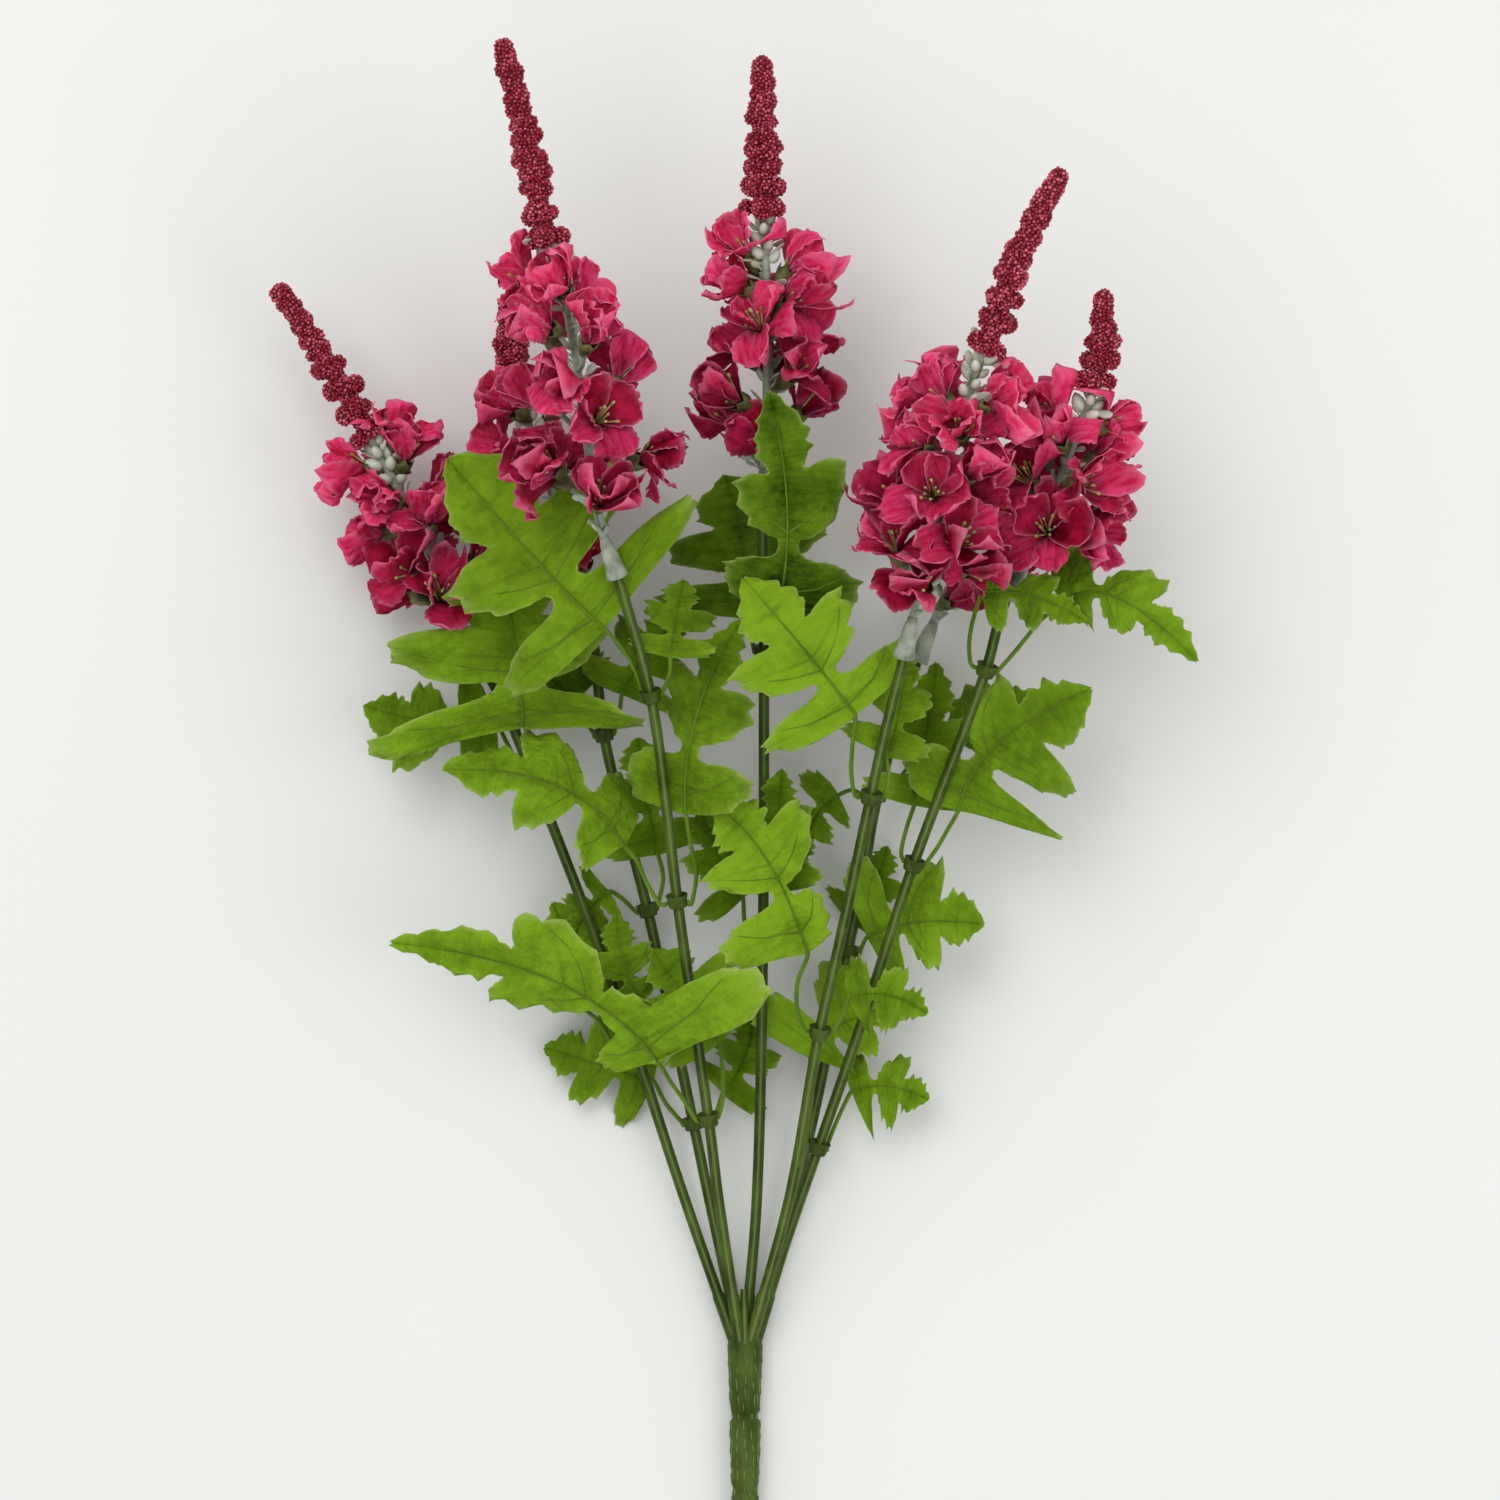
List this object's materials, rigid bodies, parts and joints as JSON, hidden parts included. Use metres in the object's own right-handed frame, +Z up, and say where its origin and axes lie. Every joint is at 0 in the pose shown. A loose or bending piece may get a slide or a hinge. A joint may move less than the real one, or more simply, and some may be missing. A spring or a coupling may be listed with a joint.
{
  "type": "artificial delphinium bush",
  "caption": "Artificial delphinium bush: flower spikes with bead tips and paired lobed leaves on slim stems joined in one trunk.",
  "frame": {"origin": "bottom centre of the lying bush's bounding box", "axes": "+Y from the trunk's cut end to the spikes' tips, +X to the right across the bush, +Z up from the surface it lies on"},
  "size_m": [0.3585, 0.5878, 0.1543],
  "materials": {
    "stem_plastic": "satin",
    "petal_fabric": "matte",
    "bead_coat": "matte",
    "leaf_fabric": "matte"
  },
  "bodies": {
    "root": {"stems": "stem_plastic", "head_a": "petal_fabric", "head_b": "petal_fabric", "head_c": "petal_fabric", "head_d": "petal_fabric", "head_e": "petal_fabric", "head_f": "petal_fabric", "head_g": "petal_fabric", "beads_a": "bead_coat", "beads_b": "bead_coat", "beads_c": "bead_coat", "beads_d": "bead_coat", "beads_e": "bead_coat", "beads_f": "bead_coat", "beads_g": "bead_coat", "leaves_a1": "leaf_fabric", "leaves_a2": "leaf_fabric", "leaves_b1": "leaf_fabric", "leaves_b2": "leaf_fabric", "leaves_b3": "leaf_fabric", "leaves_c1": "leaf_fabric", "leaves_c2": "leaf_fabric", "leaves_c3": "leaf_fabric", "leaves_d1": "leaf_fabric", "leaves_d2": "leaf_fabric", "leaves_e1": "leaf_fabric", "leaves_e2": "leaf_fabric", "leaves_f1": "leaf_fabric", "leaves_f2": "leaf_fabric", "leaves_g1": "leaf_fabric", "leaves_g2": "leaf_fabric", "leaves_g3": "leaf_fabric"}
  },
  "joints": []
}
